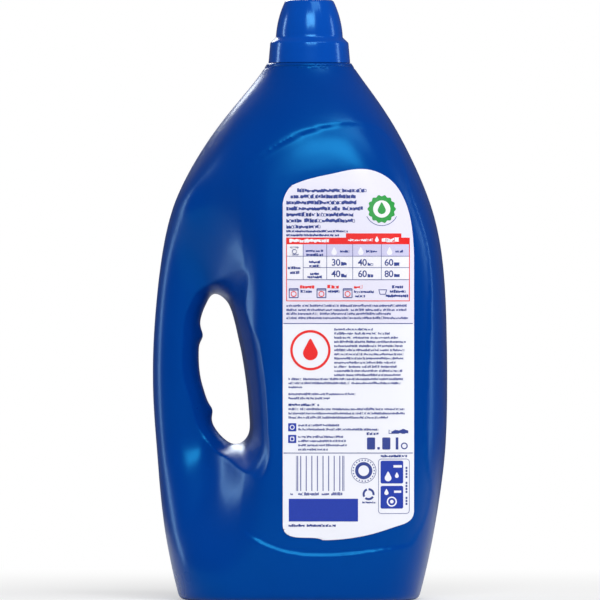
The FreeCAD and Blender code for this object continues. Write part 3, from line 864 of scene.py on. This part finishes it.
for across, up, length in ((0.3, 190.3, 7.0), (17.2, 190.3, 7.2), (33.2, 190.1, 12.2), (34.0, 187.5, 6.0)):
    marks.append(word_row(across * mm, up * mm, length * mm, 1.2 * fine))
lay_on_label(marks, "machine_marks", navy_ink, 1)
for across, length in ((0.0, 8.8), (16.8, 7.1), (33.2, 5.2)):
    doors.append(word_row(across * mm, 193.0 * mm, length * mm, 1.4 * fine, 0.75))
lay_on_label(doors, "machine_doors", red_ink, 1)

# Round red ring with a red drop of liquid at the left of the small print.
mark_across = 6.4 * mm
mark_up = 154.8 * mm
ring_and_drop = [
    hollow_out(disc(mark_across, mark_up, 12.4 * mm, 72), 1.5 * mm),
    drop(mark_across, mark_up - 1.6 * mm, 4.6 * mm),
]
lay_on_label(ring_and_drop, "round_mark", red_ink, 1)

# Two small blue squares beside the address lines, each with a plain white shape.
squares = [
    round_corners(field(-7.3 * mm, 104.9 * mm, 5.0 * mm, 5.0 * mm), 0.3 * mm),
    round_corners(field(-7.3 * mm, 97.7 * mm, 5.0 * mm, 5.0 * mm), 0.3 * mm),
]
lay_on_label(squares, "contact_squares", blue_ink, 1)
shapes = [
    hollow_out(disc(-4.8 * mm, 107.4 * mm, 1.5 * mm, 24), 0.5 * mm),
    hollow_out(round_corners(field(-6.1 * mm, 98.8 * mm, 2.6 * mm, 2.8 * mm), 0.6 * mm), 0.5 * mm),
]
lay_on_label(shapes, "contact_shapes", white_ink, 2)

# Bold blocks where the quantity stands.
bars = [
    round_corners(field(41.2 * mm, 93.7 * mm, 5.0 * mm, 7.4 * mm), 0.6 * mm),
    round_corners(field(47.6 * mm, 93.7 * mm, 1.5 * mm, 1.5 * mm), 0.3 * mm),
    round_corners(field(50.6 * mm, 93.7 * mm, 5.0 * mm, 7.4 * mm), 0.6 * mm),
    field(58.9 * mm, 93.7 * mm, 1.6 * mm, 7.4 * mm),
    hollow_out(disc(64.2 * mm, 95.9 * mm, 2.1 * mm, 24), 0.7 * mm),
]
lay_on_label(bars, "quantity_bars", navy_ink, 1)

# Bar code: upright bars whose widths follow a formula, with short rows of marks below.
code_left = -2.4 * mm
code_width = 29.7 * mm
modules = 95
module = code_width / modules


def stays_white(face):
    """Tells whether a cell of the bar code is a gap between two bars."""
    column = int((face.center.x - code_left) / module)
    dark = (column * column * 7 + column * 13) % 11 < 5
    guard = column in (0, 2, 46, 48, 92, 94)
    return not (dark or guard) or column in (1, 47, 93)


code = field(code_left, 68.2 * mm, code_width, 21.6 * mm, modules, 4)
delete_faces(code, stays_white)
lay_on_label([code], "bar_code", grey_ink, 1)
digits = [
    word_row(-5.9 * mm, 65.6 * mm, 1.5 * mm, 1.9 * mm),
    word_row(-1.2 * mm, 65.6 * mm, 12.8 * mm, 1.9 * mm),
    word_row(13.3 * mm, 65.6 * mm, 12.8 * mm, 1.9 * mm),
]
lay_on_label(digits, "bar_code_marks", grey_ink, 1)

# Solid blue field at the foot of the label.
lay_on_label([field(-6.9 * mm, 49.4 * mm, 42.6 * mm, 14.0 * mm, 22, 7)], "blue_field", blue_ink, 1)

# Round seal of plain rings, and a ring of three bars below it.
seal_across = 39.2 * mm
seal_up = 80.7 * mm
rings = [
    hollow_out(disc(seal_across, seal_up, 7.7 * mm, 60), 0.3 * mm),
    hollow_out(disc(seal_across, seal_up, 5.3 * mm, 60), 2.0 * mm),
]
dots = 22
dot_reach = 6.5 * mm
for index in range(dots):
    turn = 2 * math.pi * index / dots
    dot_across = seal_across + dot_reach * math.cos(turn)
    dot_up = seal_up + dot_reach * math.sin(turn)
    rings.append(disc(dot_across, dot_up, 0.42 * mm, 8))
lay_on_label(rings, "seal_rings", navy_ink, 1)
loop_across = 42.2 * mm
loop_up = 66.2 * mm


def lies_between_bars(face):
    """Tells whether a face of the ring lies in one of the three gaps between its bars."""
    turn = math.degrees(math.atan2(face.center.z - loop_up, face.center.x - loop_across))
    return (turn + 30) % 120 < 22


loop = hollow_out(disc(loop_across, loop_up, 3.7 * mm, 36), 1.3 * mm)
delete_faces(loop, lies_between_bars)
lay_on_label([loop, word_row(38.3 * mm, 60.7 * mm, 8.4 * mm, 0.8 * fine)], "loop_mark", navy_ink, 1)

# Two blue squares in a rounded frame, with plain white shapes.
frame_border = round_corners(field(48.1 * mm, 54.1 * mm, 19.4 * mm, 33.9 * mm), 2.0 * mm)
lay_on_label([hollow_out(frame_border, 0.35 * mm)], "tip_frame", grey_ink, 1)
squares = []
for up in (72.8, 57.3):
    squares.append(round_corners(field(49.6 * mm, up * mm, 13.9 * mm, 14.0 * mm), 1.0 * mm))
lay_on_label(squares, "tip_squares", blue_ink, 1)
shapes = [
    drop(54.2 * mm, 76.2 * mm, 2.1 * mm),
    field(57.5 * mm, 82.6 * mm, 5.2 * mm, 1.5 * mm),
    drop(59.6 * mm, 77.4 * mm, 1.2 * mm),
    hollow_out(disc(56.5 * mm, 61.6 * mm, 3.1 * mm, 30), 0.8 * mm),
    disc(56.5 * mm, 61.6 * mm, 1.1 * mm, 20),
    drop(53.2 * mm, 67.0 * mm, 1.3 * mm),
    field(57.9 * mm, 67.0 * mm, 4.4 * mm, 1.4 * mm),
]
lay_on_label(shapes, "tip_shapes", white_ink, 2)
rows = []
for index in range(13):
    up = 59.5 + 1.85 * index
    if index % 5 != 3:
        rows.append(field(65.0 * mm, up * mm, 1.1 * mm, 1.3 * mm))
lay_on_label(rows, "tip_side_marks", navy_ink, 1)
